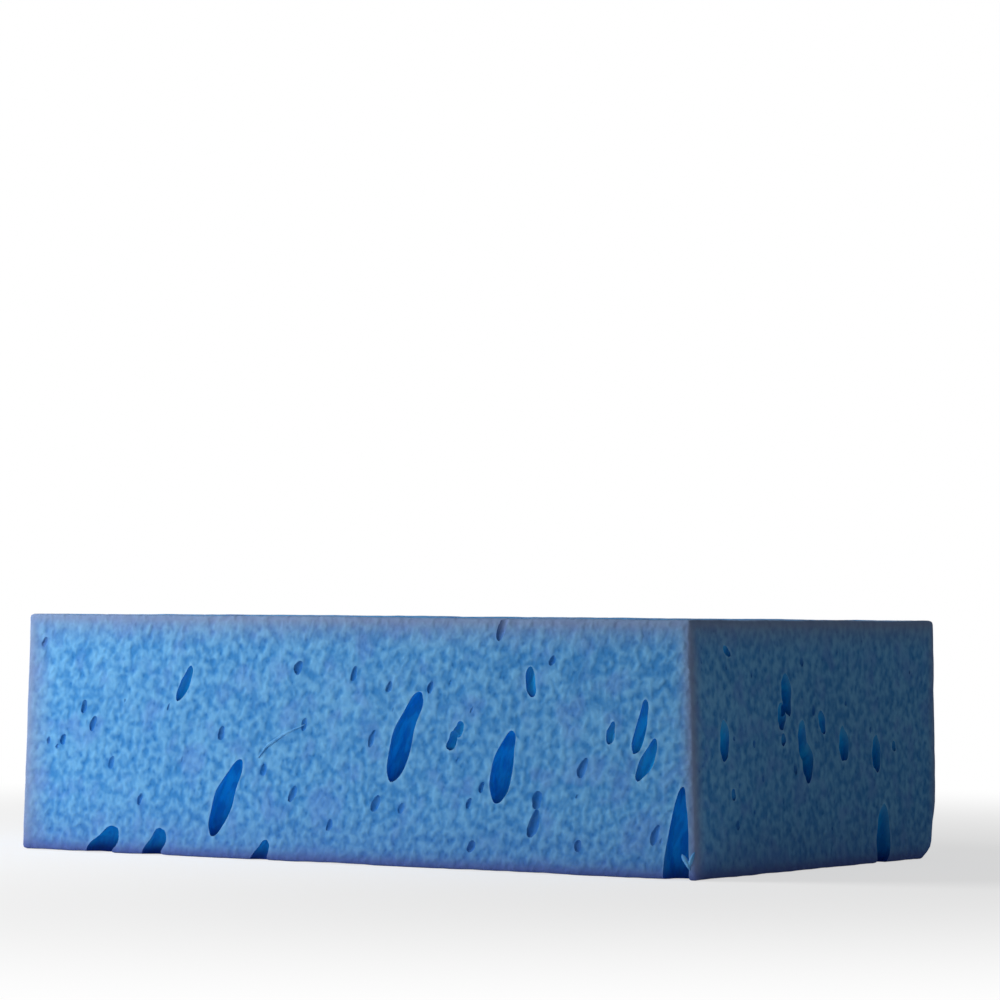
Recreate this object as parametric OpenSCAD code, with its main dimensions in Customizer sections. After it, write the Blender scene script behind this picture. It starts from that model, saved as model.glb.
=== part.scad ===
// A foam cleaning sponge: one block sliced from coarse blown foam.
// The foam rose at a slant, so its large bubbles are long spindles that all lean
// the same way. The cut faces and edges slice them open, which leaves the long
// slots on the upright faces and the oval holes on the broad ones.
// The origin is the middle of the foot. X runs along the length, Y along the width.

/* [Block] */
// Length of the block at its foot
block_l = 150; // [110:5:220]
// Width of the block at its foot
block_w = 90; // [65:5:130]
// Height of the block
block_h = 45; // [30:1:70]
// How far each side leans in on its way up
side_lean = 0.7; // [0:0.1:2]
// Radius of the sliced edges
edge_r = 0.8; // [0.4:0.1:2]
// Radius of the one worn corner, at the foot of the back right edge
worn_r = 3.5; // [1:0.5:4]
// How far the wear reaches along the foot's edges
worn_w = 6; // [4:0.5:10]
// How far the wear reaches up the back right edge
worn_h = 10; // [5:0.5:14]
// How much further the front right edge leans in along the length, as it was sliced askew
askew = 1.4; // [0:0.1:3]

/* [Bubbles] */
// Lean of the rise direction from upright, towards +X
rise_lean = 22; // [0:1:35]
// Depth of a bubble's axis under the face it opens on, as a share of its width
bubble_sink = 0.2; // [0:0.05:0.4]
// Width of the widest bubble on the unseen faces
bubble_w = 4.4; // [2:0.1:6]
// Length of a bubble on the unseen faces for each millimetre of its width
bubble_slim = 3.8; // [2:0.1:5]
// Number of bubbles that open on the back
back_bubbles = 14; // [0:1:24]
// Number of bubbles that open on the left end
end_bubbles = 9; // [0:1:16]
// Number of bubbles that open on the top, and on the foot
broad_bubbles = 26; // [0:1:32]

/* [Hidden] */

foam_blue = "#5795D0";

// Sides of the balls that a bubble is drawn from, and that round the block's edges
bubble_fn = 10;
pit_fn = 7;
edge_fn = 16;

// A bubble's balls, from its lower tip up: height along it and width, as shares
// of its length and its width. The lower tip is blunt and the upper one drawn out.
bubble_balls = [[0.12, 0.6], [0.36, 1], [0.62, 0.88], [0.95, 0.4]];
pit_balls = [[0.45, 1], [0.85, 0.4]];
// Bubbles narrower than this are drawn as pits, with fewer faces
pit_w = 1.9;

// The narrowest bubble on an unseen face, as a share of bubble_w
least_w = 0.3;
// Seeds of the scatter on the back, the left end, the top and the foot
back_seed = 11;
end_seed = 23;
top_seed = 37;
foot_seed = 41;

// Bubbles on the front, as they lie in the photographed face. Each row holds the
// place along the length and up the height, both in percent of the face, then
// length, width and lean towards +X.
front_slots = [
    [25.7, 71.5, 7.8, 2.3, 26],
    [32.3, 25, 16.7, 4.7, 26],
    [59.0, 52, 18.5, 5, 22.5],
    [66.8, 55.6, 3.2, 2, 10],
    [65.8, 51, 3.8, 2.2, 24],
    [73.2, 41, 14.2, 4.6, 15],
    [13.1, 2.2, 11, 5, 36],
    [21.2, 3, 9, 4.2, 34],
    [37.6, 2, 7, 3, 32],
    [76.9, 75, 5.7, 2.2, -5],
    [88.1, 55.8, 4.4, 1.8, 17],
    [92.1, 58.2, 10.4, 2.5, 12.5],
    [93.0, 45.6, 8.7, 2.6, 24.5],
    [78.0, 28.7, 3, 2.2, 23],
    [77.6, 19.5, 5.5, 2.2, 3],
    [96.9, 7.8, 28, 5.5, 10],
    [72.8, 96.5, 5.5, 1.9, 0]
];

// Small pits on the front: place along and up in percent, then length and width
front_pits = [
    [9.8, 61, 2.8, 1.5],
    [11.3, 54, 3.2, 1.5],
    [6.5, 47, 2.2, 1.4],
    [14.3, 38, 2.6, 1.4],
    [19.0, 23, 2.4, 1.2],
    [3.2, 88, 2.2, 1.3],
    [31.5, 51.5, 2.8, 1.6],
    [43.1, 79, 2.8, 1.8],
    [51.4, 77, 3, 1.3],
    [56.6, 72, 2.2, 1.3],
    [62.6, 72, 2.4, 1.3],
    [54.2, 51, 3.6, 1.2],
    [42.5, 27.5, 3.4, 1.6],
    [54.9, 25, 3.4, 1.7],
    [58.6, 23.5, 2.2, 1.4],
    [48.1, 15.5, 2.4, 1.3],
    [38.0, 37, 2.4, 1.5],
    [44.1, 56, 2.6, 1.3],
    [68.8, 9.5, 2.4, 1.7],
    [83.8, 11.5, 2.2, 1.5],
    [84.3, 42, 4, 1.8],
    [70.2, 33, 2.2, 1.2],
    [94.3, 17, 4, 1.5]
];

// Bubbles on the right end: place along the width and up the height in percent,
// then length, width and lean towards +Y. The rise direction is added to these.
right_slots = [
    [12.3, 51.5, 11, 3.2, 0],
    [36.8, 68.5, 12, 4, -8],
    [34.5, 61, 6, 2.8, 0],
    [42.8, 50, 16, 3.4, -8],
    [44.6, 40, 13, 4.4, -6],
    [59.8, 48, 11, 3.4, -5],
    [73.3, 42.5, 12, 3.6, 3],
    [75.8, 8.5, 21, 5.2, 5],
    [14.2, 87.5, 3.5, 1.6, -50],
    [51.0, 58.5, 5, 2.4, -20],
    [15.0, 32, 2.2, 1.6, 0],
    [35.0, 52.5, 2.4, 1.8, 0],
    [80.8, 47.5, 2.6, 1.6, 0]
];

// Places and widths of bubbles scattered at random over a face. Each row holds two
// shares of the face's sides and a width, and few are wide.
function scatter(count, seed) =
    let (throws = rands(0, 1, max(3 * count, 1), seed))
    [
        for (index = [0 : 1 : count - 1])
            [
                throws[3 * index],
                throws[3 * index + 1],
                bubble_w * (least_w + (1 - least_w) * pow(throws[3 * index + 2], 2))
            ]
    ];

// One bubble, centred, with its length along Z
module bubble(length, width) {
    pit = width < pit_w;
    hull() for (ball = pit ? pit_balls : bubble_balls)
        translate([0, 0, (ball[0] - 0.5) * length])
            sphere(d = ball[1] * width, $fn = pit ? pit_fn : bubble_fn);
}

// A ball of the hull, touching the planes of one corner from inside
module corner_ball(side_x, side_y, height, radius) {
    inset = side_lean * height / block_h;
    translate([
        side_x * (block_l / 2 - inset - radius),
        side_y * (block_w / 2 - inset - radius),
        height
    ])
        sphere(radius / cos(90 / edge_fn), $fn = edge_fn);
}

// The sliced block before any bubble: straight sides that lean in a little,
// soft edges, and one corner of the foot rubbed round
module sliced_block() {
    low = edge_r;
    high = block_h - edge_r;
    hull() {
        for (side_x = [-1, 1], side_y = [-1, 1]) {
            near_right = side_x > 0 && side_y < 0;
            far_right = side_x > 0 && side_y > 0;
            translate([near_right ? -askew : 0, 0, 0])
                corner_ball(side_x, side_y, high, edge_r);
            if (!far_right) corner_ball(side_x, side_y, low, edge_r);
        }
        corner_ball(1, 1, worn_h, edge_r);
        corner_ball(1, 1, worn_r, worn_r);
        translate([-worn_w, 0, 0]) corner_ball(1, 1, low, edge_r);
        translate([0, -worn_w, 0]) corner_ball(1, 1, low, edge_r);
    }
}

// Bubbles opened by the front face
module front_bubbles() {
    for (slot = front_slots)
        translate([
            (slot[0] / 100 - 0.5) * block_l,
            bubble_sink * slot[3] - block_w / 2,
            slot[1] / 100 * block_h
        ])
            rotate([0, slot[4], 0]) bubble(slot[2], slot[3]);
    for (pit = front_pits)
        translate([
            (pit[0] / 100 - 0.5) * block_l,
            bubble_sink * pit[3] - block_w / 2,
            pit[1] / 100 * block_h
        ])
            rotate([0, rise_lean, 0]) bubble(pit[2], pit[3]);
}

// Bubbles opened by the right end, which cuts across the rise direction
module right_bubbles() {
    for (slot = right_slots)
        translate([
            block_l / 2 - bubble_sink * slot[3],
            (slot[0] / 100 - 0.5) * block_w,
            slot[1] / 100 * block_h
        ])
            rotate([-slot[4], rise_lean, 0]) bubble(slot[2], slot[3]);
}

// Bubbles scattered over an upright face that spans between two corners of the foot
module upright_bubbles(count, seed, from, to, inward) {
    for (spot = scatter(count, seed))
        translate(
            from + (to - from) * spot[0] + inward * bubble_sink * spot[2]
            + [0, 0, block_h * spot[1]]
        )
            rotate([0, rise_lean, 0]) bubble(bubble_slim * spot[2], spot[2]);
}

// Bubbles scattered over a broad face, which opens them across
module broad_bubbles_at(height, seed) {
    for (spot = scatter(broad_bubbles, seed))
        translate([block_l * (spot[0] - 0.5), block_w * (spot[1] - 0.5), height])
            rotate([0, rise_lean, 0]) bubble(bubble_slim * spot[2], spot[2]);
}

module foam_block() {
    right = block_l / 2;
    back = block_w / 2;
    color(foam_blue) difference() {
        sliced_block();
        front_bubbles();
        right_bubbles();
        upright_bubbles(back_bubbles, back_seed, [-right, back, 0], [right, back, 0], [0, -1, 0]);
        upright_bubbles(end_bubbles, end_seed, [-right, -back, 0], [-right, back, 0], [1, 0, 0]);
        broad_bubbles_at(block_h, top_seed);
        broad_bubbles_at(0, foot_seed);
    }
}

foam_block();
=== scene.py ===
"""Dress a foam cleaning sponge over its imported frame.

The sponge is one slice of coarse blown foam. While the foam rose it was dragged
sideways, so its large bubbles are long spindles that all lean the same way. The
slicing wires opened them on every face: long slots on the upright faces, oval
holes on the broad ones and notches along the edges.
"""

import logging
import math
import random
from collections.abc import Sequence
from dataclasses import dataclass, field
from enum import Enum
from typing import Any

import bmesh
import bpy
import numpy
from mathutils import Euler, Matrix, Vector, noise

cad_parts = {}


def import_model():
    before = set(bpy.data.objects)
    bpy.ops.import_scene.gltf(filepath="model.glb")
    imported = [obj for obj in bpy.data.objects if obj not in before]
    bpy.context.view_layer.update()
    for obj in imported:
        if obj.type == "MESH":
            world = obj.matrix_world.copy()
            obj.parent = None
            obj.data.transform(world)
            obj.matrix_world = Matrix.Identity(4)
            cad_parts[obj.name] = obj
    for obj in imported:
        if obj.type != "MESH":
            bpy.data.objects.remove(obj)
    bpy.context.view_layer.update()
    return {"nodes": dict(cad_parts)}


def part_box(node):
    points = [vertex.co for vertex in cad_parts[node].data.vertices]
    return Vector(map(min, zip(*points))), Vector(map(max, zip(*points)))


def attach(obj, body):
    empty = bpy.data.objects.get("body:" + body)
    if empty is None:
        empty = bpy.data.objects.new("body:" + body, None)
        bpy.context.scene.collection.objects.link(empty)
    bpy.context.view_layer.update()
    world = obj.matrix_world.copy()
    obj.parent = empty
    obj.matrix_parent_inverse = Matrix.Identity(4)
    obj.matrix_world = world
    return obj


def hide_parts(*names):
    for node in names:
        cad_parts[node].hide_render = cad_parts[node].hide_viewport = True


logging.basicConfig(level=logging.INFO, format="%(message)s")
log = logging.getLogger("sponge")

MM = 0.001  # one millimetre in metres
UP = Vector((0.0, 0.0, 1.0))
RISE_LEAN = 22.0  # degrees that the foam's rise leans from upright, towards +X
WHITE = (1.0, 1.0, 1.0, 1.0)
DICE_SEED = 7  # of the smallest pits and of every bubble's irregularities
FOAM_SLOT, SKIN_SLOT, PIT_SLOT = range(3)  # what a face of the mesh is made of


def linear_colour(code: str) -> tuple[float, float, float, float]:
    """Turn an sRGB hex colour into Blender's linear colour.

    Args:
        code: six hex digits after a hash, such as "#5D9CD4".

    Returns:
        Red, green, blue and an alpha of 1.
    """
    shares = [int(code[at : at + 2], 16) / 255 for at in (1, 3, 5)]
    red, green, blue = (
        s / 12.92 if s <= 0.04045 else ((s + 0.055) / 1.055) ** 2.4 for s in shares
    )
    return red, green, blue, 1.0


def add_node(
    tree: bpy.types.NodeTree,
    kind: str,
    inputs: dict[str | int, Any] | None = None,
    **settings: Any,
) -> bpy.types.Node:
    """Add a node with its settings, and set or link its inputs.

    Args:
        tree: the node tree that gets the node.
        kind: the node's type name.
        inputs: a value, or an output socket to link, for each input.
        settings: the node's own properties.

    Returns:
        The new node.
    """
    node = tree.nodes.new(kind)
    for name, value in settings.items():
        setattr(node, name, value)
    for name, value in (inputs or {}).items():
        if isinstance(value, bpy.types.NodeSocket):
            tree.links.new(value, node.inputs[name])
        else:
            node.inputs[name].default_value = value
    return node


def bare_material(name: str) -> bpy.types.Material:
    """Make a material whose node tree is still empty.

    Args:
        name: the material's name.

    Returns:
        The new material.
    """
    made = bpy.data.materials.new(name)
    made.use_nodes = True
    made.node_tree.nodes.clear()
    return made


def smooth_step(low: float, high: float, value: float) -> float:
    """Rise smoothly from 0 at low to 1 at high.

    Args:
        low: where the rise starts; it may be above high for a fall.
        high: where it ends.
        value: the place to look at.

    Returns:
        A share from 0 to 1.
    """
    share = min(max((value - low) / (high - low), 0.0), 1.0)
    return share * share * (3 - 2 * share)


@dataclass(frozen=True)
class Fade:
    """An amount that grows smoothly from nothing at one place to its most at another."""

    most: float
    start: float
    end: float  # it may be below the start

    def at(self, place: float) -> float:
        """Find the amount at a place."""
        return self.most * smooth_step(self.start, self.end, place)


class Side(Enum):
    """The six sliced faces of the block, each with its outward direction."""

    FRONT = (0, -1, 0)
    BACK = (0, 1, 0)
    RIGHT = (1, 0, 0)
    LEFT = (-1, 0, 0)
    TOP = (0, 0, 1)
    FOOT = (0, 0, -1)

    @property
    def outward(self) -> Vector:
        """The face's outward direction."""
        return Vector(self.value)

    @property
    def upright(self) -> bool:
        """Whether the face stands up from the foot."""
        return self.value[2] == 0


@dataclass(frozen=True)
class Slice:
    """The sliced block's plain form, in millimetres.

    Its upright faces lean in a little on their way up, and the front right edge
    leans in further, because the slices were cut slightly askew.
    """

    size: Vector
    side_lean: float = 0.7
    askew: float = 1.4
    edge_r: float = 0.8
    worn_r: float = 3.5  # the worn corner, and how far its wear reaches
    worn_reach: tuple[float, float, float] = (6.0, 6.0, 10.0)
    wear: Fade = Fade(1.0, 1.1, 0.35)  # by the distance, as a share of that reach
    ripples: tuple[tuple[float, float], ...] = ((0.13, 9.0), (0.08, 2.6))  # height, spacing
    ripple_sink: float = 0.05  # how far the ripples lie under the plain face

    def inset(self, side: Side, spot: Vector) -> float:
        """Find how far a face has leaned in at a place.

        Args:
            side: the face.
            spot: a place on or near it, from the middle of the foot.

        Returns:
            The distance from the block's plain box.
        """
        if not side.upright:
            return 0.0
        rise = spot.z / self.size.z
        further = 0.0
        if side is Side.RIGHT:
            further = self.askew * (0.5 - spot.y / self.size.y)
        return (self.side_lean + further) * rise

    def gap(self, side: Side, spot: Vector) -> float:
        """Find how deep a place lies under a face.

        Args:
            side: the face.
            spot: the place, from the middle of the foot.

        Returns:
            The depth, or less than nothing outside the block.
        """
        if side is Side.FOOT:
            return spot.z
        if side is Side.TOP:
            return self.size.z - spot.z
        reach = self.size.dot(Vector(map(abs, side.value))) / 2
        return reach - self.inset(side, spot) - spot.dot(side.outward)

    def surface(self, spot: Vector) -> Vector:
        """Move a point of the plain box onto the soft, worn and uneven surface.

        Args:
            spot: a point of the box's surface, from the middle of the box.

        Returns:
            Its place, from the middle of the foot.
        """
        half = self.size / 2
        away = spot - Vector((half.x, half.y, -half.z))
        share = Vector(away[axis] / self.worn_reach[axis] for axis in range(3))
        worn = self.wear.at(share.length)
        radius = self.edge_r + (self.worn_r - self.edge_r) * worn
        core = Vector(
            max(min(spot[axis], half[axis] - radius), radius - half[axis])
            for axis in range(3)
        )
        outward = (spot - core).normalized()
        placed = core + outward * radius
        uneven = 0.0
        for height, spacing in self.ripples:
            uneven += height * noise.noise(placed / spacing)
        placed += outward * (uneven - self.ripple_sink)
        placed.z = max(placed.z, -half.z) + half.z
        rise = placed.z / self.size.z
        rightward = 0.5 + placed.x / self.size.x
        frontward = 0.5 - placed.y / self.size.y
        placed.x *= 1 - self.side_lean * rise / half.x
        placed.y *= 1 - self.side_lean * rise / half.y
        placed.x -= self.askew * rise * rightward * frontward
        return placed


@dataclass(frozen=True)
class BubbleForm:
    """How finely a bubble is drawn, and how far the gas left it from round."""

    spokes: int
    rings: int
    depth: float  # of its hidden half against the open one
    deepening: Fade  # what a wide one adds to that, by its width in millimetres
    blunt: float = 3.0  # how late its lower end closes
    drawn: float = 7.0  # how late its upper end closes
    narrowing: float = 1.25  # how late its upper part narrows
    bend: float = 0.07  # how far it bends sideways, as a share of its width
    bend_waves: float = 2.4
    wobbles: tuple[tuple[float, int, float], ...] = (  # strength, lobes and twist
        (0.09, 2, 2.0),
        (0.07, 3, 4.0),
        (0.04, 5, -7.0),
    )


LARGE_FORM = BubbleForm(spokes=26, rings=11, depth=0.5, deepening=Fade(0.6, 2.0, 4.4))
PIT_FORM = BubbleForm(spokes=8, rings=3, depth=0.35, deepening=Fade(0.0, 2.0, 4.4))


@dataclass(frozen=True)
class Bubble:
    """One blown bubble that a sliced face opens, with sizes in millimetres."""

    side: Side
    across: float  # percent of the face's first side
    along: float  # percent of its second side
    length: float
    width: float
    lean: float = RISE_LEAN
    swing: float = 0.0  # degrees from upright towards +Y
    taper: float = 0.4  # how much narrower its upper end is, as a share
    sink: float = 0.2  # depth of its axis under the face, as a share of its width
    pit: bool = False  # a small one, without the smooth skin of a large one
    swell: float = 0.8  # half of its girth with all its wobbles, as a share of its width
    clearance: float = 1.15  # how far from its middle another bubble keeps, as a factor

    @property
    def reach(self) -> float:
        """The most that the bubble reaches from its middle, with some room."""
        return max(self.length / 2, self.swell * self.width) * self.clearance

    def place(self, block: Slice) -> Vector:
        """Find the bubble's middle.

        Args:
            block: the block that it lies in.

        Returns:
            The middle, from the middle of the block's foot.
        """
        share = [self.across / 100 - 0.5, self.along / 100 - 0.5]
        spot = Vector()
        for axis in range(3):
            if not self.side.value[axis]:
                spot[axis] = share.pop(0) * block.size[axis]
        if self.side.upright:
            spot.z += block.size.z / 2
        deep = block.gap(self.side, spot) - self.sink * self.width
        return spot + self.side.outward * deep

    def add_to(
        self, work: bmesh.types.BMesh, block: Slice, dice: random.Random
    ) -> None:
        """Add the bubble to a mesh as a closed, slightly irregular spindle.

        The lower end is blunt and the upper one is drawn out, as gas left them.

        Args:
            work: the mesh that gets it.
            block: the block that it lies in.
            dice: the source of its irregularities.
        """
        form = PIT_FORM if self.pit else LARGE_FORM
        turn = Euler((math.radians(-self.swing), math.radians(self.lean), 0))
        inward = -self.side.outward
        middle = self.place(block)
        deeper = form.depth + form.deepening.at(self.width)
        *phases, bend_phase = (dice.uniform(0, math.tau) for _ in range(4))
        rows: list[list[bmesh.types.BMVert]] = []
        for ring in range(-form.rings, form.rings + 1):
            height = math.sin(math.pi / 2 * ring / form.rings)
            lateness = form.blunt if height < 0 else form.drawn
            girth = max(1 - abs(height) ** lateness, 0.0) ** 0.5
            girth *= 1 - self.taper * max(height, 0.0) ** form.narrowing
            bend = form.bend * math.sin(form.bend_waves * height + bend_phase)
            row = []
            for spoke in range(1 if abs(ring) == form.rings else form.spokes):
                angle = math.tau * spoke / form.spokes
                wobble = 0.0
                for (strength, lobes, twist), phase in zip(form.wobbles, phases):
                    wobble += strength * math.cos(lobes * angle + phase + twist * height)
                radius = self.width / 2 * girth * (1 + wobble)
                local = Vector(
                    (
                        radius * math.cos(angle) + bend * self.width,
                        radius * math.sin(angle),
                        self.length / 2 * height,
                    )
                )
                local.rotate(turn)
                sunk = max(local.dot(inward), 0.0)
                row.append(work.verts.new(middle + local + inward * sunk * (deeper - 1)))
            rows.append(row if len(row) == form.spokes else row * form.spokes)
        for low, high in zip(rows, rows[1:]):
            for at in range(form.spokes):
                after = (at + 1) % form.spokes
                corners = dict.fromkeys((low[at], low[after], high[after], high[at]))
                face = work.faces.new(list(corners))
                face.material_index = PIT_SLOT if self.pit else SKIN_SLOT


@dataclass(frozen=True)
class TornLip:
    """A thin curved lip of torn foam on the front face, in millimetres."""

    points: tuple[tuple[float, float], ...]  # along the length and up
    width: float
    proud: float  # how far it stands off the face
    tip: float = 0.03  # share of the length where it has stopped thinning out
    fullness: float = 0.6  # under 1, it keeps its width for longer
    steps: int = 14
    spokes: int = 8

    def add_to(self, work: bmesh.types.BMesh, block: Slice) -> None:
        """Add the lip to a mesh as a closed ridge that thins out at both ends.

        Args:
            work: the mesh that gets it.
            block: the block whose front carries it.
        """
        rows = []
        for step in range(self.steps + 1):
            share = step / self.steps
            spot, ahead = self._along(share)
            within = min(max(share, self.tip), 1 - self.tip)
            girth = max(math.sin(math.pi * within), 0.0) ** self.fullness
            place = Vector((spot.x, 0, spot.y))
            front = block.gap(Side.FRONT, place)
            centre = place + Side.FRONT.outward * front
            across = Vector((-ahead.y, 0, ahead.x))
            row = []
            for spoke in range(self.spokes):
                angle = math.tau * spoke / self.spokes
                offset = across * math.cos(angle) * self.width / 2
                offset += Side.FRONT.outward * math.sin(angle) * self.proud
                row.append(work.verts.new(centre + offset * girth))
            rows.append(row)
        for low, high in zip(rows, rows[1:]):
            for at in range(self.spokes):
                after = (at + 1) % self.spokes
                work.faces.new((low[at], low[after], high[after], high[at]))
        work.faces.new(reversed(rows[0]))
        work.faces.new(rows[-1])

    def _along(self, share: float) -> tuple[Vector, Vector]:
        """Find a place on the lip's line and its direction there.

        Args:
            share: how far along the line the place is, from 0 to 1.

        Returns:
            The place and the direction, along the length and up.
        """
        span = (len(self.points) - 1) * share
        first = min(int(span), len(self.points) - 2)
        start, end = Vector(self.points[first]), Vector(self.points[first + 1])
        return start.lerp(end, span - first), (end - start).normalized()


# The long slots of the front face, read one by one: places across and up in percent,
# length, width and lean, and for the last one also its swing and its taper.
FRONT_SLOTS = (
    (25.7, 71.5, 7.8, 2.3, 26),
    (32.3, 25, 16.7, 4.7, 26),
    (59.0, 52, 18.5, 5, 22.5),
    (66.8, 55.6, 3.2, 2, 10),
    (65.8, 51, 3.8, 2.2, 24),
    (73.2, 41, 14.2, 4.6, 15),
    (13.1, 2.2, 11, 5, 36),
    (21.2, 3, 9, 4.2, 34),
    (37.6, 2, 7, 3, 32),
    (76.9, 75, 5.7, 2.2, -5),
    (88.1, 55.8, 4.4, 1.8, 17),
    (92.1, 58.2, 10.4, 2.5, 12.5),
    (93.0, 45.6, 8.7, 2.6, 24.5),
    (97.1, 7.8, 28, 5.6, 8, 0, 0.65),  # a long notch in the near corner
)
# The front's small pits: across, up, length and width.
FRONT_PITS = (
    (9.8, 61, 2.8, 1.5),
    (11.3, 54, 3.2, 1.5),
    (6.5, 47, 2.2, 1.4),
    (14.3, 38, 2.6, 1.4),
    (19.0, 23, 2.4, 1.2),
    (3.2, 88, 2.2, 1.3),
    (31.5, 51.5, 2.8, 1.6),
    (43.1, 79, 2.8, 1.8),
    (51.4, 77, 3, 1.3),
    (56.6, 72, 2.2, 1.3),
    (62.6, 72, 2.4, 1.3),
    (54.2, 51, 3.6, 1.2),
    (42.5, 27.5, 3.4, 1.6),
    (54.9, 25, 3.4, 1.7),
    (58.6, 23.5, 2.2, 1.4),
    (48.1, 15.5, 2.4, 1.3),
    (38.0, 37, 2.4, 1.5),
    (44.1, 56, 2.6, 1.3),
    (68.8, 9.5, 2.4, 1.7),
    (83.8, 11.5, 2.2, 1.5),
    (84.3, 42, 4, 1.8),
    (70.2, 33, 2.2, 1.2),
    (94.3, 17, 4, 1.5),
    (78.0, 28.7, 3.4, 2.2),
    (77.6, 19.5, 5.5, 2.2),
    (72.8, 96.5, 5.5, 1.9),
)
# The bubbles of the right end: across, up, length, width and swing.
RIGHT_SLOTS = (
    (12.3, 51.5, 11, 3.2, 0),
    (36.8, 68.5, 12, 4, -8),
    (34.5, 61, 6, 2.8, 0),
    (42.8, 50, 16, 3.4, -8),
    (44.6, 40, 13, 4.4, -6),
    (59.8, 48, 11, 3.4, -5),
    (73.3, 42.5, 12, 3.6, 3),
    (75.8, 8.5, 21, 5.2, 5),
    (14.2, 87.5, 3.5, 1.6, -50),
    (51.0, 58.5, 5, 2.4, -20),
    (15.0, 32, 2.2, 1.6, 0),
    (35.0, 52.5, 2.4, 1.8, 0),
    (80.8, 47.5, 2.6, 1.6, 0),
)
# A thin torn crescent above the low slot, and a torn flap by the near corner: the
# points of each lip, its width and how far it stands proud.
TORN_LIPS = (
    TornLip(((-19.2, 18.8), (-17.3, 21.0), (-13.1, 23.4), (-8.6, 25.2)), 0.6, 0.1),
    TornLip(((71.9, 4.5), (72.4, 3.8), (73.0, 3.0), (73.5, 1.9)), 1.0, 0.4),
    TornLip(((74.4, 5.0), (74.0, 4.1), (73.6, 3.2), (73.4, 2.4)), 0.8, 0.35),
)


@dataclass(frozen=True)
class Scatter:
    """The bubbles that lie at random on an unseen face, in millimetres.

    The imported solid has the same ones: both draw them from the same seed.
    """

    side: Side
    count: int
    seed: int
    widest: float = 4.4
    least: float = 0.3  # the narrowest, as a share of the widest
    slim: float = 3.8  # length for each millimetre of width
    sink: float = 0.2  # depth of an axis under an upright face, as a share of the width

    def bubbles(self) -> list[Bubble]:
        """Throw the bubbles over the face.

        Returns:
            One bubble for each three draws: its places across and along, to a tenth
            of a percent, and its width, to a hundredth of a millimetre.
        """
        draws = self._draws()
        sink = self.sink if self.side.upright else 0.0
        found = []
        for across, along, girth in zip(draws[::3], draws[1::3], draws[2::3]):
            share = self.least + (1 - self.least) * girth**2
            width = round(self.widest * share, 2)
            spot = round(100 * across, 1), round(100 * along, 1)
            found.append(Bubble(self.side, *spot, self.slim * width, width, sink=sink))
        return found

    def _draws(self) -> list[float]:
        """Repeat the random shares that the part's source draws from the seed.

        The source makes each share from two words of the same random generator, and
        the second of them holds its leading digits.

        Returns:
            Three shares from 0 to 1 for each bubble.
        """
        generator = numpy.random.RandomState(self.seed)
        words = generator.randint(0, 2**32, 6 * self.count, dtype=numpy.uint32)
        return [float(word) / 2**32 for word in words[1::2]]


@dataclass(frozen=True)
class PitThrow:
    """How the smallest pits lie on a face, in millimetres, degrees and percent."""

    narrowest: float = 0.6
    wider: float = 0.9  # how much wider the widest one is
    across: tuple[float, float] = (2.0, 97.0)
    along: tuple[float, float] = (4.0, 96.0)
    slim: tuple[float, float] = (1.2, 2.4)  # length for each millimetre of width
    sink: tuple[float, float] = (0.0, 0.1)
    stray: float = 6.0  # how far one leans off the foam's rise, either way

    def pit(self, side: Side, dice: random.Random) -> Bubble:
        """Throw one small pit at random onto a face.

        Args:
            side: the face that opens it.
            dice: the source of its place, size and lean.

        Returns:
            The pit.
        """
        width = self.narrowest + self.wider * dice.random() ** 2
        return Bubble(
            side,
            across=dice.uniform(*self.across),
            along=dice.uniform(*self.along),
            length=width * dice.uniform(*self.slim),
            width=width,
            lean=RISE_LEAN + dice.uniform(-self.stray, self.stray),
            swing=dice.uniform(-self.stray, self.stray),
            sink=dice.uniform(*self.sink),
            pit=True,
        )


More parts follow.
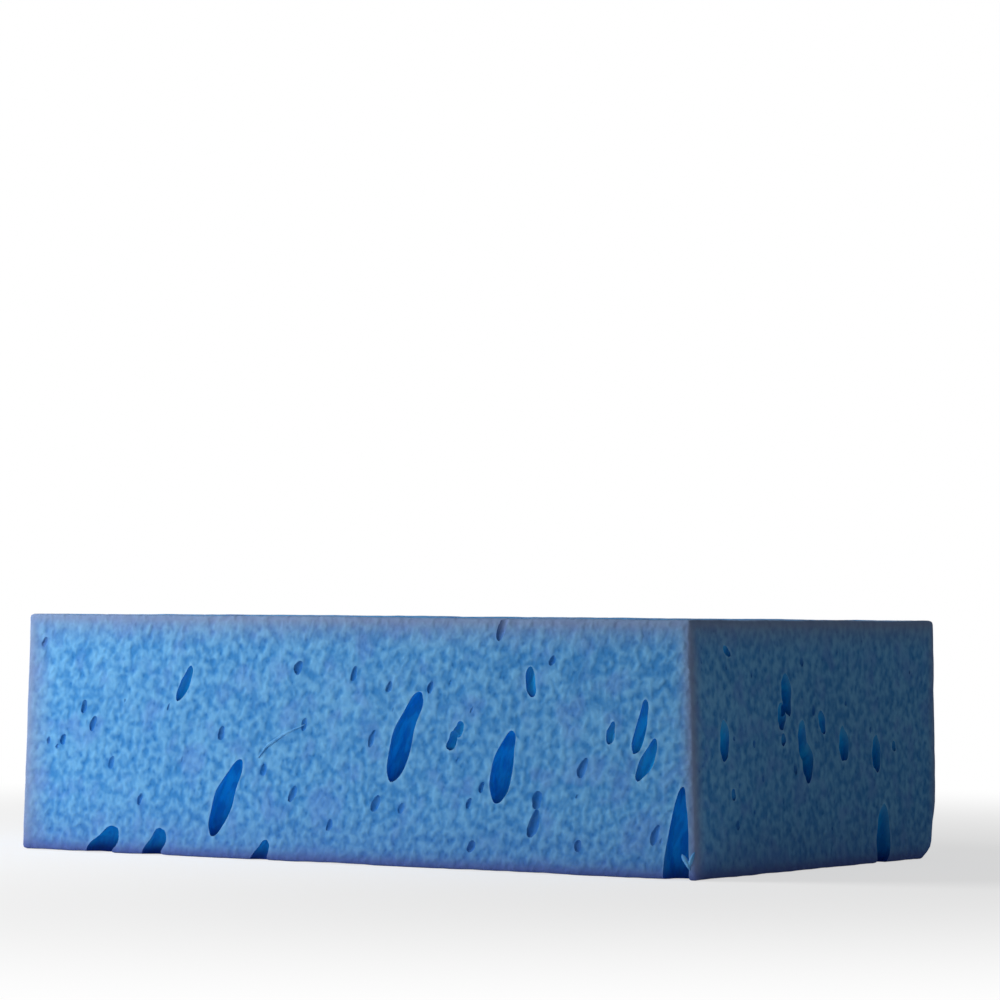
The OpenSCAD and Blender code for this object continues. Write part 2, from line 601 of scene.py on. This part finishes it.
@dataclass(frozen=True)
class FoamFinish:
    """What the cut foam and the walls of its bubbles have in common.

    Both have a grain that is drawn out along the foam's rise, and marks that the
    mesh carries at each of its points.
    """

    stretch: float = 1.0  # how far the grain is drawn out
    relief_mm: float = 0.2
    roughness: float = 0.9
    gloss: float = 0.1  # share of the usual gloss
    ior: float = 1.45

    def _grain(
        self,
        tree: bpy.types.NodeTree,
        kind: str,
        size_mm: float,
        inputs: dict[str | int, Any],
        **settings: Any,
    ) -> bpy.types.Node:
        """Add a pattern of a size, drawn out along the rise.

        Args:
            tree: the node tree that gets it.
            kind: the type name of the pattern's node.
            size_mm: the size of its cells.
            inputs: the other inputs of the node.
            settings: the node's own properties.

        Returns:
            The pattern's node.
        """
        width = size_mm * MM
        mapped = add_node(
            tree,
            "ShaderNodeMapping",
            {
                "Vector": add_node(tree, "ShaderNodeTexCoord").outputs["Object"],
                "Rotation": (0, math.radians(RISE_LEAN), 0),
                "Scale": (width, width, width * self.stretch),
            },
            vector_type="TEXTURE",
        )
        inputs = {"Vector": mapped.outputs["Vector"], "Scale": 1.0} | inputs
        return add_node(tree, kind, inputs, **settings)

    def _noise(
        self,
        tree: bpy.types.NodeTree,
        size_mm: float,
        detail: float,
        roughness: float = 0.5,
    ) -> bpy.types.NodeSocket:
        """Add soft noise of a size.

        Args:
            tree: the node tree that gets it.
            size_mm: the size of its lumps.
            detail: how many finer layers it has.
            roughness: how strong the finer layers are.

        Returns:
            The socket with the noise, from 0 to 1.
        """
        inputs = {"Detail": detail, "Roughness": roughness}
        return self._grain(tree, "ShaderNodeTexNoise", size_mm, inputs).outputs["Fac"]

    @staticmethod
    def _mark(tree: bpy.types.NodeTree, name: str) -> bpy.types.NodeSocket:
        """Read a mark of the mesh."""
        return add_node(tree, "ShaderNodeAttribute", attribute_name=name).outputs["Fac"]

    @staticmethod
    def _share(
        tree: bpy.types.NodeTree, value: bpy.types.NodeSocket, low: float, high: float
    ) -> bpy.types.NodeSocket:
        """Rise smoothly from 0 where a value is low to 1 where it is high.

        Args:
            tree: the node tree that gets the step.
            value: the socket with the value.
            low: where the rise starts; it may be above high for a fall.
            high: where it ends.

        Returns:
            The socket with the share.
        """
        ranged = add_node(
            tree,
            "ShaderNodeMapRange",
            {"Value": value, "From Min": low, "From Max": high},
            interpolation_type="SMOOTHSTEP",
        )
        return ranged.outputs["Result"]

    @staticmethod
    def _times(
        tree: bpy.types.NodeTree,
        value: bpy.types.NodeSocket,
        factor: bpy.types.NodeSocket | float,
    ) -> bpy.types.NodeSocket:
        """Multiply a value by a factor."""
        inputs = {0: value, 1: factor}
        return add_node(tree, "ShaderNodeMath", inputs, operation="MULTIPLY").outputs[0]

    @staticmethod
    def _sum(
        tree: bpy.types.NodeTree,
        value: bpy.types.NodeSocket,
        factor: float,
        other: bpy.types.NodeSocket,
    ) -> bpy.types.NodeSocket:
        """Add a value, times a factor, to another."""
        inputs = {0: value, 1: factor, 2: other}
        return add_node(tree, "ShaderNodeMath", inputs, operation="MULTIPLY_ADD").outputs[0]

    @staticmethod
    def _mix(
        tree: bpy.types.NodeTree,
        share: bpy.types.NodeSocket | float,
        first: bpy.types.NodeSocket | str,
        second: bpy.types.NodeSocket | str,
    ) -> bpy.types.NodeSocket:
        """Mix two colours.

        Args:
            tree: the node tree that gets the mix.
            share: how much of the second colour there is, from 0 to 1.
            first: a socket with a colour, or an sRGB hex colour.
            second: the same for the second colour.

        Returns:
            The socket with the mixed colour.
        """
        inputs = {0: share}
        for slot, colour in ((6, first), (7, second)):
            inputs[slot] = linear_colour(colour) if isinstance(colour, str) else colour
        return add_node(tree, "ShaderNodeMix", inputs, data_type="RGBA").outputs[2]

    def _shade(
        self,
        tree: bpy.types.NodeTree,
        colour: bpy.types.NodeSocket,
        relief: bpy.types.NodeSocket,
    ) -> None:
        """Close a material with the matt shader that all of the foam has.

        Args:
            tree: the material's node tree.
            colour: the socket with its colour.
            relief: the socket with the height of its fine relief.
        """
        bump = add_node(
            tree,
            "ShaderNodeBump",
            {"Height": relief, "Strength": 1.0, "Distance": self.relief_mm * MM},
        )
        shader = add_node(
            tree,
            "ShaderNodeBsdfPrincipled",
            {
                "Base Color": colour,
                "Roughness": self.roughness,
                "IOR": self.ior,
                "Specular IOR Level": self.gloss,
                "Normal": bump.outputs["Normal"],
            },
        )
        add_node(tree, "ShaderNodeOutputMaterial", {"Surface": shader.outputs[0]})


@dataclass(frozen=True)
class SlicedFoam(FoamFinish):
    """Open-cell polyurethane foam, dyed through and sliced with a hot wire.

    The wire leaves broken cells: dark pores among pale crumbs of cell wall, so the
    face looks fine-grained and matt. The pores' darkness is painted shade in the
    open cells, and the crumbs' paleness is partly painted glints. Painted
    highlights make the edges paler and greyer and the rims paler, and painted
    shade darkens the pits and the foam towards the foot.
    """

    middle: str = "#4797D6"
    # pale crumbs, partly painted glints; also the rims' painted highlight
    pale: str = "#8AC8F4"
    dark: str = "#2C72BE"
    violet: str = "#6490D8"
    # painted shade in the open cells
    pore: str = "#1E68B4"
    # painted shade deep in a pit
    pit_shade: str = "#1A68BC"
    # painted highlight along the block's edges
    edge_highlight: str = "#8291B4"
    # painted shade towards the floor
    foot_shade: str = "#5262A4"
    cell_mm: float = 1.35  # real cells are about 0.7 mm: drawn coarser so that they show
    crumb_mm: float = 1.45
    drift_mm: float = 9.0  # patches of paler and darker foam
    violet_mm: float = 5.4  # patches that the dye left more violet
    stretch: float = 1.1
    relief_mm: float = 0.25
    roughness: float = 0.92
    crumb_relief: float = 1.2  # what the crumbs and the cells add to the relief
    cell_relief: float = 0.3
    crumb_tone: float = 1.6  # what the crumbs, the cells and the drift add to the tone
    cell_tone: float = 0.35
    drift_tone: float = 0.4
    tones: tuple[float, float] = (0.75, 1.65)  # the tones of the dark and the pale colour
    evenness: float = 0.5  # share of the middle colour everywhere
    pore_cells: tuple[float, float] = (0.3, 0.1)  # where a cell's middle is open and takes the painted shade
    pore_crumbs: tuple[float, float] = (0.55, 0.4)  # where no crumb fills it
    violet_patches: tuple[float, float] = (0.5, 0.7)  # where the noise turns violet

    def material(self) -> bpy.types.Material:
        """Build the finish of the sliced faces.

        Returns:
            The new material.
        """
        made = bare_material("sliced_foam")
        tree = made.node_tree
        drift = self._noise(tree, self.drift_mm, detail=3.0)
        tint = self._noise(tree, self.violet_mm, detail=2.0)
        crumbs = self._noise(tree, self.crumb_mm, detail=1.0, roughness=0.4)
        pattern = self._grain(tree, "ShaderNodeTexVoronoi", self.cell_mm, {}, feature="F1")
        cells = pattern.outputs["Distance"]  # from the middles of the cells
        relief = self._times(tree, cells, self.cell_relief)
        relief = self._sum(tree, crumbs, self.crumb_relief, relief)
        tone = self._times(tree, cells, self.cell_tone)
        tone = self._sum(tree, crumbs, self.crumb_tone, tone)
        tone = self._sum(tree, drift, self.drift_tone, tone)
        colour = self._mix(
            tree, self._share(tree, tone, *self.tones), self.dark, self.pale
        )
        colour = self._mix(tree, self.evenness, colour, self.middle)
        violet = self._share(tree, tint, *self.violet_patches)
        pores = self._times(
            tree,
            self._share(tree, cells, *self.pore_cells),
            self._share(tree, crumbs, *self.pore_crumbs),
        )
        for share, strength, shade in (
            (violet, 0.4, self.violet),
            # painted shade in the open cells
            (pores, 0.4, self.pore),
            # painted shade deep in a pit
            (self._mark(tree, "depth"), 0.8, self.pit_shade),
            # painted highlight at a bubble's rim
            (self._mark(tree, "rim"), 0.55, self.pale),
            # painted highlight along the edges
            (self._mark(tree, "edge"), 0.9, self.edge_highlight),
            # painted shade towards the floor
            (self._mark(tree, "foot"), 0.9, self.foot_shade),
        ):
            colour = self._mix(tree, self._times(tree, share, strength), colour, shade)
        self._shade(tree, colour, relief)
        return made


@dataclass(frozen=True)
class BubbleSkin(FoamFinish):
    """The foam's own skin on the wall of a blown bubble.

    Gas left it smooth and dense, so it is deeper in colour than the cut cells and
    a little shiny, with faint folds along the bubble. Its colours are also painted
    brighter, for light that soaks through the foam into the bubble, and painted
    shade darkens a wall that faces up, lies by the foot or by an upright edge.
    """

    near_rim: str = "#429FE0"
    # partly painted light: brighter than the skin's own blue, for light soaking through the
    # foam
    deep: str = "#0EAAF8"
    fold: str = "#088EE2"
    low: str = "#0A3C96"  # painted shade on a wall by the foot or by an upright edge
    ledge_shade: str = "#1E62AC"  # painted shade on a wall that faces up
    fold_mm: float = 1.3
    folds: tuple[float, float] = (0.62, 0.38)  # where the noise turns into a fold
    stretch: float = 3.0
    relief_mm: float = 0.18
    roughness: float = 0.6
    gloss: float = 0.12

    def material(self) -> bpy.types.Material:
        """Build the finish of the bubble walls.

        Returns:
            The new material.
        """
        made = bare_material("bubble_skin")
        tree = made.node_tree
        relief = self._noise(tree, self.fold_mm, detail=2.0)
        folded = self._share(tree, relief, *self.folds)
        colour = self._mix(tree, folded, self.deep, self.fold)
        colour = self._mix(tree, self._mark(tree, "depth"), self.near_rim, colour)
        # painted shade on walls that face up, by the foot and by the edges
        for name, shade in (("ledge_shade", self.ledge_shade), ("foot", self.low)):
            colour = self._mix(tree, self._mark(tree, name), colour, shade)
        self._shade(tree, colour, relief)
        return made


@dataclass(frozen=True)
class PaintedLight:
    """Where the foam gets painted highlights and painted shade, by distances in
    millimetres.
    """

    edge_reach: float = 4.0  # how far the painted highlight of an upright edge reaches
    left_reach: float = 7.5  # the same at the left end, where the painted highlight reaches further
    edge_full: float = 0.3  # nearer than this the painted highlight is whole
    broad: float = 0.6  # its strength all over
    close: float = 0.35  # what it gains near the edge
    close_reach: float = 0.35  # how far that gain reaches, as a share of the whole
    # the painted highlight along the top's edges
    top: tuple[Fade, ...] = (Fade(0.4, 6.5, 1.0), Fade(0.45, 2.6, 0.8))
    # painted shade towards the floor, by the height over the foot
    foot: tuple[Fade, ...] = (Fade(0.3, 12.0, 0.0), Fade(0.7, 3.0, 0.4))
    foot_rim: Fade = Fade(1.0, 4.0, 1.0)  # a cut face keeps the painted shade of the foot only this near to an upright face
    wall_edge_shade: float = 0.5  # painted shade of a bubble's wall by an edge, as a share of the edge's highlight
    # the painted shade of a pit grows over this depth
    pit_depth: Fade = Fade(1.0, 0.0, 0.25)
    bubble_depth: Fade = Fade(1.0, 0.0, 1.3)
    ledge_shade: Fade = Fade(0.85, 0.2, 0.75)  # painted shade, by how far a bubble's wall faces up
    torn_rim: float = 0.3  # how much of a rim's painted highlight a torn lip has

    def edge_highlight(self, gaps: dict[Side, float]) -> float:
        """Find how much painted highlight a place gets from the upright edge nearest to it.

        Args:
            gaps: how deep the place lies under each face.

        Returns:
            A share from 0 to 1.
        """
        apart = sorted(gap for side, gap in gaps.items() if side.upright)[1]
        reach = self.left_reach if gaps[Side.LEFT] < self.left_reach else self.edge_reach
        broad = Fade(self.broad, reach, self.edge_full)
        close = Fade(self.close, self.close_reach * reach, self.edge_full)
        return broad.at(apart) + close.at(apart)


@dataclass
class FoamBlock:
    """The sliced block with every bubble that its faces open, in millimetres."""

    shape: Slice
    sliced: bpy.types.Material
    skin: bpy.types.Material
    # where the painted highlights and painted shade lie
    wear: PaintedLight = PaintedLight()
    thrown: PitThrow = PitThrow()
    step: float = 1.25  # spacing of the faces' own mesh
    edge_line: float = 0.35  # where a line of the mesh crosses a soft edge, as a share
    crease: float = 50.0  # degrees at which a bend of the mesh is a sharp edge
    front_sink: float = 0.06  # how deep the front's listed pits lie, by their width
    scattered: tuple[Scatter, ...] = (
        Scatter(Side.BACK, count=14, seed=11),
        Scatter(Side.LEFT, count=9, seed=23),
        Scatter(Side.TOP, count=26, seed=37),
        Scatter(Side.FOOT, count=26, seed=41),
    )
    pits: tuple[tuple[Side, int], ...] = (  # how many more lie at random on each face
        (Side.FRONT, 14),
        (Side.RIGHT, 25),
        (Side.BACK, 90),
        (Side.LEFT, 55),
        (Side.TOP, 240),
        (Side.FOOT, 110),
    )
    dice: random.Random = field(default_factory=lambda: random.Random(DICE_SEED))

    def build(self) -> bpy.types.Object:
        """Slice the block, cut its bubbles and dress it.

        Returns:
            The finished foam, in metres.
        """
        foam = self._block()
        for group in self._apart(self._bubbles()):
            self._cut(foam, group)
        self._finish(foam)
        return foam

    def _ticks(self, span: float) -> list[float]:
        """Place the mesh's lines across one side, closer together at its edges.

        Args:
            span: the side's length.

        Returns:
            The lines' places, from the middle of the side.
        """
        edge = self.shape.edge_r
        close = [0.0, self.edge_line * edge, edge]
        inner = span - 2 * edge
        count = round(inner / self.step)
        middle = [edge + inner * at / count for at in range(1, count)]
        ends = [span - at for at in reversed(close)]
        return [at - span / 2 for at in close + middle + ends]

    def _block(self) -> bpy.types.Object:
        """Build the sliced block before any bubble.

        Returns:
            The block, as one closed mesh.
        """
        ticks = [self._ticks(side) for side in self.shape.size]
        last = [len(side) - 1 for side in ticks]
        work = bmesh.new()
        known: dict[tuple[int, ...], bmesh.types.BMVert] = {}

        def vertex(at: tuple[int, ...]) -> bmesh.types.BMVert:
            """Find or make the mesh's vertex at one crossing of the lines.

            Args:
                at: the numbers of the lines that cross there, one for each axis.

            Returns:
                The vertex.
            """
            if at not in known:
                spot = Vector(ticks[axis][at[axis]] for axis in range(3))
                known[at] = work.verts.new(self.shape.surface(spot))
            return known[at]

        for axis in range(3):
            first, second = (axis + 1) % 3, (axis + 2) % 3
            for end in (0, last[axis]):
                ring = [(0, 0), (1, 0), (1, 1), (0, 1)]
                if end == 0:
                    ring.reverse()
                for one in range(last[first]):
                    for two in range(last[second]):
                        corners = []
                        for step_one, step_two in ring:
                            at = [0, 0, 0]
                            at[axis] = end
                            at[first] = one + step_one
                            at[second] = two + step_two
                            corners.append(vertex(tuple(at)))
                        work.faces.new(corners)
        return self._object(work, "foam")

    def _object(self, work: bmesh.types.BMesh, name: str) -> bpy.types.Object:
        """Turn a working mesh into an object of the scene.

        Args:
            work: the working mesh, which is freed.
            name: the object's name.

        Returns:
            The object, with the foam's materials in their slots.
        """
        mesh = bpy.data.meshes.new(name)
        work.to_mesh(mesh)
        work.free()
        for finish in (self.sliced, self.skin, self.sliced):
            mesh.materials.append(finish)
        made = bpy.data.objects.new(name, mesh)
        bpy.context.scene.collection.objects.link(made)
        return made

    def _bubbles(self) -> list[Bubble]:
        """List every bubble that opens on a face or an edge.

        Returns:
            The large bubbles, and then the pits.
        """
        found = [Bubble(Side.FRONT, *row) for row in FRONT_SLOTS]
        found += [Bubble(Side.RIGHT, *row[:4], swing=row[4]) for row in RIGHT_SLOTS]
        for scatter in self.scattered:
            found += scatter.bubbles()
        found += [
            Bubble(Side.FRONT, *row, sink=self.front_sink, pit=True) for row in FRONT_PITS
        ]
        for side, count in self.pits:
            found += [self.thrown.pit(side, self.dice) for _ in range(count)]
        return found

    def _apart(self, bubbles: Sequence[Bubble]) -> list[list[Bubble]]:
        """Sort bubbles into groups in which no two can touch.

        Args:
            bubbles: all of them.

        Returns:
            The groups.
        """
        groups: list[list[tuple[Vector, Bubble]]] = []
        for bubble in bubbles:
            spot = bubble.place(self.shape)
            for group in groups:
                if all(
                    (place - spot).length > bubble.reach + other.reach
                    for place, other in group
                ):
                    group.append((spot, bubble))
                    break
            else:
                groups.append([(spot, bubble)])
        return [[bubble for _, bubble in group] for group in groups]

    def _cut(self, foam: bpy.types.Object, group: Sequence[Bubble]) -> None:
        """Cut a group of bubbles out of the block.

        Args:
            foam: the block so far, whose mesh is replaced.
            group: bubbles that don't touch each other.
        """
        work = bmesh.new()
        for bubble in group:
            bubble.add_to(work, self.shape, self.dice)
        bmesh.ops.recalc_face_normals(work, faces=work.faces)
        tool = self._object(work, "bubbles")
        cut = foam.modifiers.new("cut", "BOOLEAN")
        cut.operation = "DIFFERENCE"
        cut.solver = "MANIFOLD"
        cut.object = tool
        bpy.context.view_layer.update()
        graph = bpy.context.evaluated_depsgraph_get()
        mesh = bpy.data.meshes.new_from_object(foam.evaluated_get(graph))
        foam.modifiers.clear()
        foam.data = mesh
        bpy.data.objects.remove(tool)

    def _finish(self, foam: bpy.types.Object) -> None:
        """Add the torn lips, mark what each place is, and scale to metres.

        Args:
            foam: the block with all its bubbles cut.
        """
        work = bmesh.new()
        work.from_mesh(foam.data)
        bare = len(work.verts)
        for lip in TORN_LIPS:
            lip.add_to(work, self.shape)
        layers = {
            name: work.verts.layers.float.new(name)
            for name in ("depth", "edge", "foot", "ledge_shade", "rim")
        }
        for index, vertex in enumerate(work.verts):
            for name, value in self._marks(vertex, index >= bare).items():
                vertex[layers[name]] = value
        for edge in work.edges:
            kinds = {face.material_index for face in edge.link_faces}
            folded = edge.calc_face_angle(0.0) > math.radians(self.crease)
            edge.smooth = len(kinds) == 1 and not folded
        for face in work.faces:
            face.smooth = True
            if face.material_index == PIT_SLOT:
                face.material_index = FOAM_SLOT
        bmesh.ops.scale(work, vec=(MM, MM, MM), verts=work.verts)
        work.to_mesh(foam.data)
        work.free()
        foam.data.materials.pop()

    def _marks(self, vertex: bmesh.types.BMVert, torn: bool) -> dict[str, float]:
        """Find what a place of the mesh is.

        Args:
            vertex: the place, in millimetres.
            torn: whether it is on a torn lip.

        Returns:
            Shares from 0 to 1: depth in a bubble, the painted highlight near an edge,
            the painted shade near the foot (on a bubble's wall also near an edge), the
            painted shade where a bubble's wall faces up, and the painted highlight at its
            rim.
        """
        wear = self.wear
        kinds = {face.material_index for face in vertex.link_faces}
        gaps = {side: self.shape.gap(side, vertex.co) for side in Side}
        side_gap = min(gap for side, gap in gaps.items() if side.upright)
        edge_highlight = wear.edge_highlight(gaps)
        top = sum(fade.at(max(gaps[Side.TOP], side_gap)) for fade in wear.top)
        low = sum(fade.at(gaps[Side.FOOT]) for fade in wear.foot)
        # painted shade: a bubble's wall also gets it by an upright edge, a cut face only
        # near a side
        if SKIN_SLOT in kinds:
            low = max(low, wear.wall_edge_shade * edge_highlight)
        else:
            low *= wear.foot_rim.at(side_gap)
        deep = wear.pit_depth if PIT_SLOT in kinds else wear.bubble_depth
        rim = wear.torn_rim if torn else float(kinds == {FOAM_SLOT, SKIN_SLOT})
        # a bubble's wall that faces up gets painted shade
        walls = [f.normal.z for f in vertex.link_faces if f.material_index == SKIN_SLOT]
        return {
            "depth": deep.at(min(gaps.values())) if kinds - {FOAM_SLOT} else 0.0,
            "edge": 0.0 if torn else max(edge_highlight, top),
            "foot": 0.0 if torn else low,
            "ledge_shade": wear.ledge_shade.at(max(walls, default=0.0)),
            "rim": rim,
        }


@dataclass(frozen=True)
class SoftLamp:
    """One square soft lamp, in metres and watts."""

    name: str
    spot: tuple[float, float, float]
    size: float
    power: float
    aim_height: float = 0.02  # it faces the block's middle, this far over the floor

    def hang(self) -> None:
        """Hang the lamp in the scene."""
        lamp = bpy.data.lights.new(self.name, "AREA")
        lamp.size = self.size
        lamp.energy = self.power
        made = bpy.data.objects.new(self.name, lamp)
        made.location = self.spot
        aim = Vector((0, 0, self.aim_height)) - Vector(self.spot)
        made.rotation_euler = aim.to_track_quat("-Z", "Y").to_euler()
        bpy.context.scene.collection.objects.link(made)


@dataclass
class Studio:
    """A pale floor and backdrop with plain soft light, in metres."""

    floor_grey: str = "#F4F4F4"
    floor_reach: float = 6.0
    near_share: float = 0.62  # how much of the floor's look near the block is plain white
    fade: tuple[float, float] = (0.10, 0.34)  # where the floor turns all white
    sky: float = 0.145
    lamps: tuple[SoftLamp, ...] = (
        SoftLamp("key", (-0.26, -0.2, 0.2), size=0.2, power=1.2),
        SoftLamp("fill", (0.1, -0.8, 0.7), size=0.6, power=0.2),
    )

    def build(self) -> None:
        """Make the floor, the sky and the lamps."""
        self._floor()
        self._sky()
        for lamp in self.lamps:
            lamp.hang()

    def _floor(self) -> None:
        """Lay a wide pale floor that turns into the white backdrop far away."""
        work = bmesh.new()
        bmesh.ops.create_grid(work, x_segments=1, y_segments=1, size=self.floor_reach)
        mesh = bpy.data.meshes.new("floor")
        work.to_mesh(mesh)
        work.free()
        made = bare_material("floor")
        tree = made.node_tree
        here = add_node(tree, "ShaderNodeTexCoord").outputs["Object"]
        away = add_node(tree, "ShaderNodeVectorMath", {0: here}, operation="LENGTH")
        white = add_node(
            tree,
            "ShaderNodeMapRange",
            {
                "Value": away.outputs["Value"],
                "From Min": self.fade[0],
                "From Max": self.fade[1],
                "To Min": self.near_share,
            },
            interpolation_type="SMOOTHSTEP",
        )
        share = add_node(
            tree,
            "ShaderNodeMath",
            {0: self._seen(tree), 1: white.outputs["Result"]},
            operation="MULTIPLY",
        )
        matt = add_node(
            tree, "ShaderNodeBsdfDiffuse", {"Color": linear_colour(self.floor_grey)}
        )
        glow = add_node(tree, "ShaderNodeEmission", {"Color": WHITE, "Strength": 1.0})
        mixed = add_node(
            tree,
            "ShaderNodeMixShader",
            {0: share.outputs[0], 1: matt.outputs[0], 2: glow.outputs[0]},
        )
        add_node(tree, "ShaderNodeOutputMaterial", {"Surface": mixed.outputs[0]})
        mesh.materials.append(made)
        floor = bpy.data.objects.new("floor", mesh)
        bpy.context.scene.collection.objects.link(floor)

    @staticmethod
    def _seen(tree: bpy.types.NodeTree) -> bpy.types.NodeSocket:
        """Tell what is seen, straight, in a gloss or through a clear piece.

        Args:
            tree: the node tree that asks.

        Returns:
            The socket with 1 for what is seen, and 0 for what only gives light.
        """
        path = add_node(tree, "ShaderNodeLightPath")
        seen = path.outputs["Is Camera Ray"]
        for way in ("Is Glossy Ray", "Is Transmission Ray"):
            inputs = {0: seen, 1: path.outputs[way]}
            seen = add_node(tree, "ShaderNodeMath", inputs, operation="MAXIMUM").outputs[0]
        return seen

    def _sky(self) -> None:
        """Light from all round, seen by the camera as plain white."""
        world = bpy.data.worlds.new("studio")
        world.use_nodes = True
        world.color = (1, 1, 1)
        tree = world.node_tree
        tree.nodes.clear()
        strength = add_node(
            tree,
            "ShaderNodeMapRange",
            {"Value": self._seen(tree), "To Min": self.sky, "To Max": 1.0},
        )
        back = add_node(
            tree,
            "ShaderNodeBackground",
            {"Color": WHITE, "Strength": strength.outputs["Result"]},
        )
        add_node(tree, "ShaderNodeOutputWorld", {"Surface": back.outputs[0]})
        bpy.context.scene.world = world


@dataclass
class PhotoCamera:
    """The camera as the photograph was taken, in millimetres and degrees."""

    azimuth: float = 33.19
    distance: float = 811.9
    sideways: float = 3.73
    height: float = 47.0
    pitch: float = 1.435
    roll: float = 0.444
    focal_share: float = 4.254  # focal length over the picture's width
    sensor: float = 36.0
    clip: tuple[float, float] = (50.0, 50000.0)  # the nearest and the farthest it sees

    def build(self) -> None:
        """Make the camera and look through it."""
        turn = math.radians(self.azimuth)
        ahead = Vector((-math.sin(turn), math.cos(turn), 0))
        right = Vector((math.cos(turn), math.sin(turn), 0))
        spot = right * self.sideways - ahead * self.distance + UP * self.height
        pitch, roll = math.radians(self.pitch), math.radians(self.roll)
        look = ahead * math.cos(pitch) + UP * math.sin(pitch)
        top = right.cross(look)
        across = right * math.cos(roll) + top * math.sin(roll)
        above = across.cross(look)
        data = bpy.data.cameras.new("photo")
        data.sensor_width = self.sensor
        data.lens = self.sensor * self.focal_share
        data.clip_start, data.clip_end = (reach * MM for reach in self.clip)
        camera = bpy.data.objects.new("photo", data)
        facing = Matrix((across, above, -look)).transposed().to_4x4()
        camera.matrix_world = Matrix.Translation(spot * MM) @ facing
        bpy.context.scene.collection.objects.link(camera)
        bpy.context.scene.camera = camera


def main() -> None:
    """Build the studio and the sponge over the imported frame."""
    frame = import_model()
    log.info("frame has %d node(s)", len(frame["nodes"]))
    low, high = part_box("foam_block")
    shape = Slice((Vector(high) - Vector(low)) / MM)
    foam = FoamBlock(shape, SlicedFoam().material(), BubbleSkin().material()).build()
    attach(foam, "root")
    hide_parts("foam_block")
    triangles = sum(len(face.vertices) - 2 for face in foam.data.polygons)
    log.info("foam: %d triangles", triangles)
    Studio().build()
    PhotoCamera().build()
    bpy.context.scene.view_settings.view_transform = "Standard"


if __name__ == "__main__":
    main()
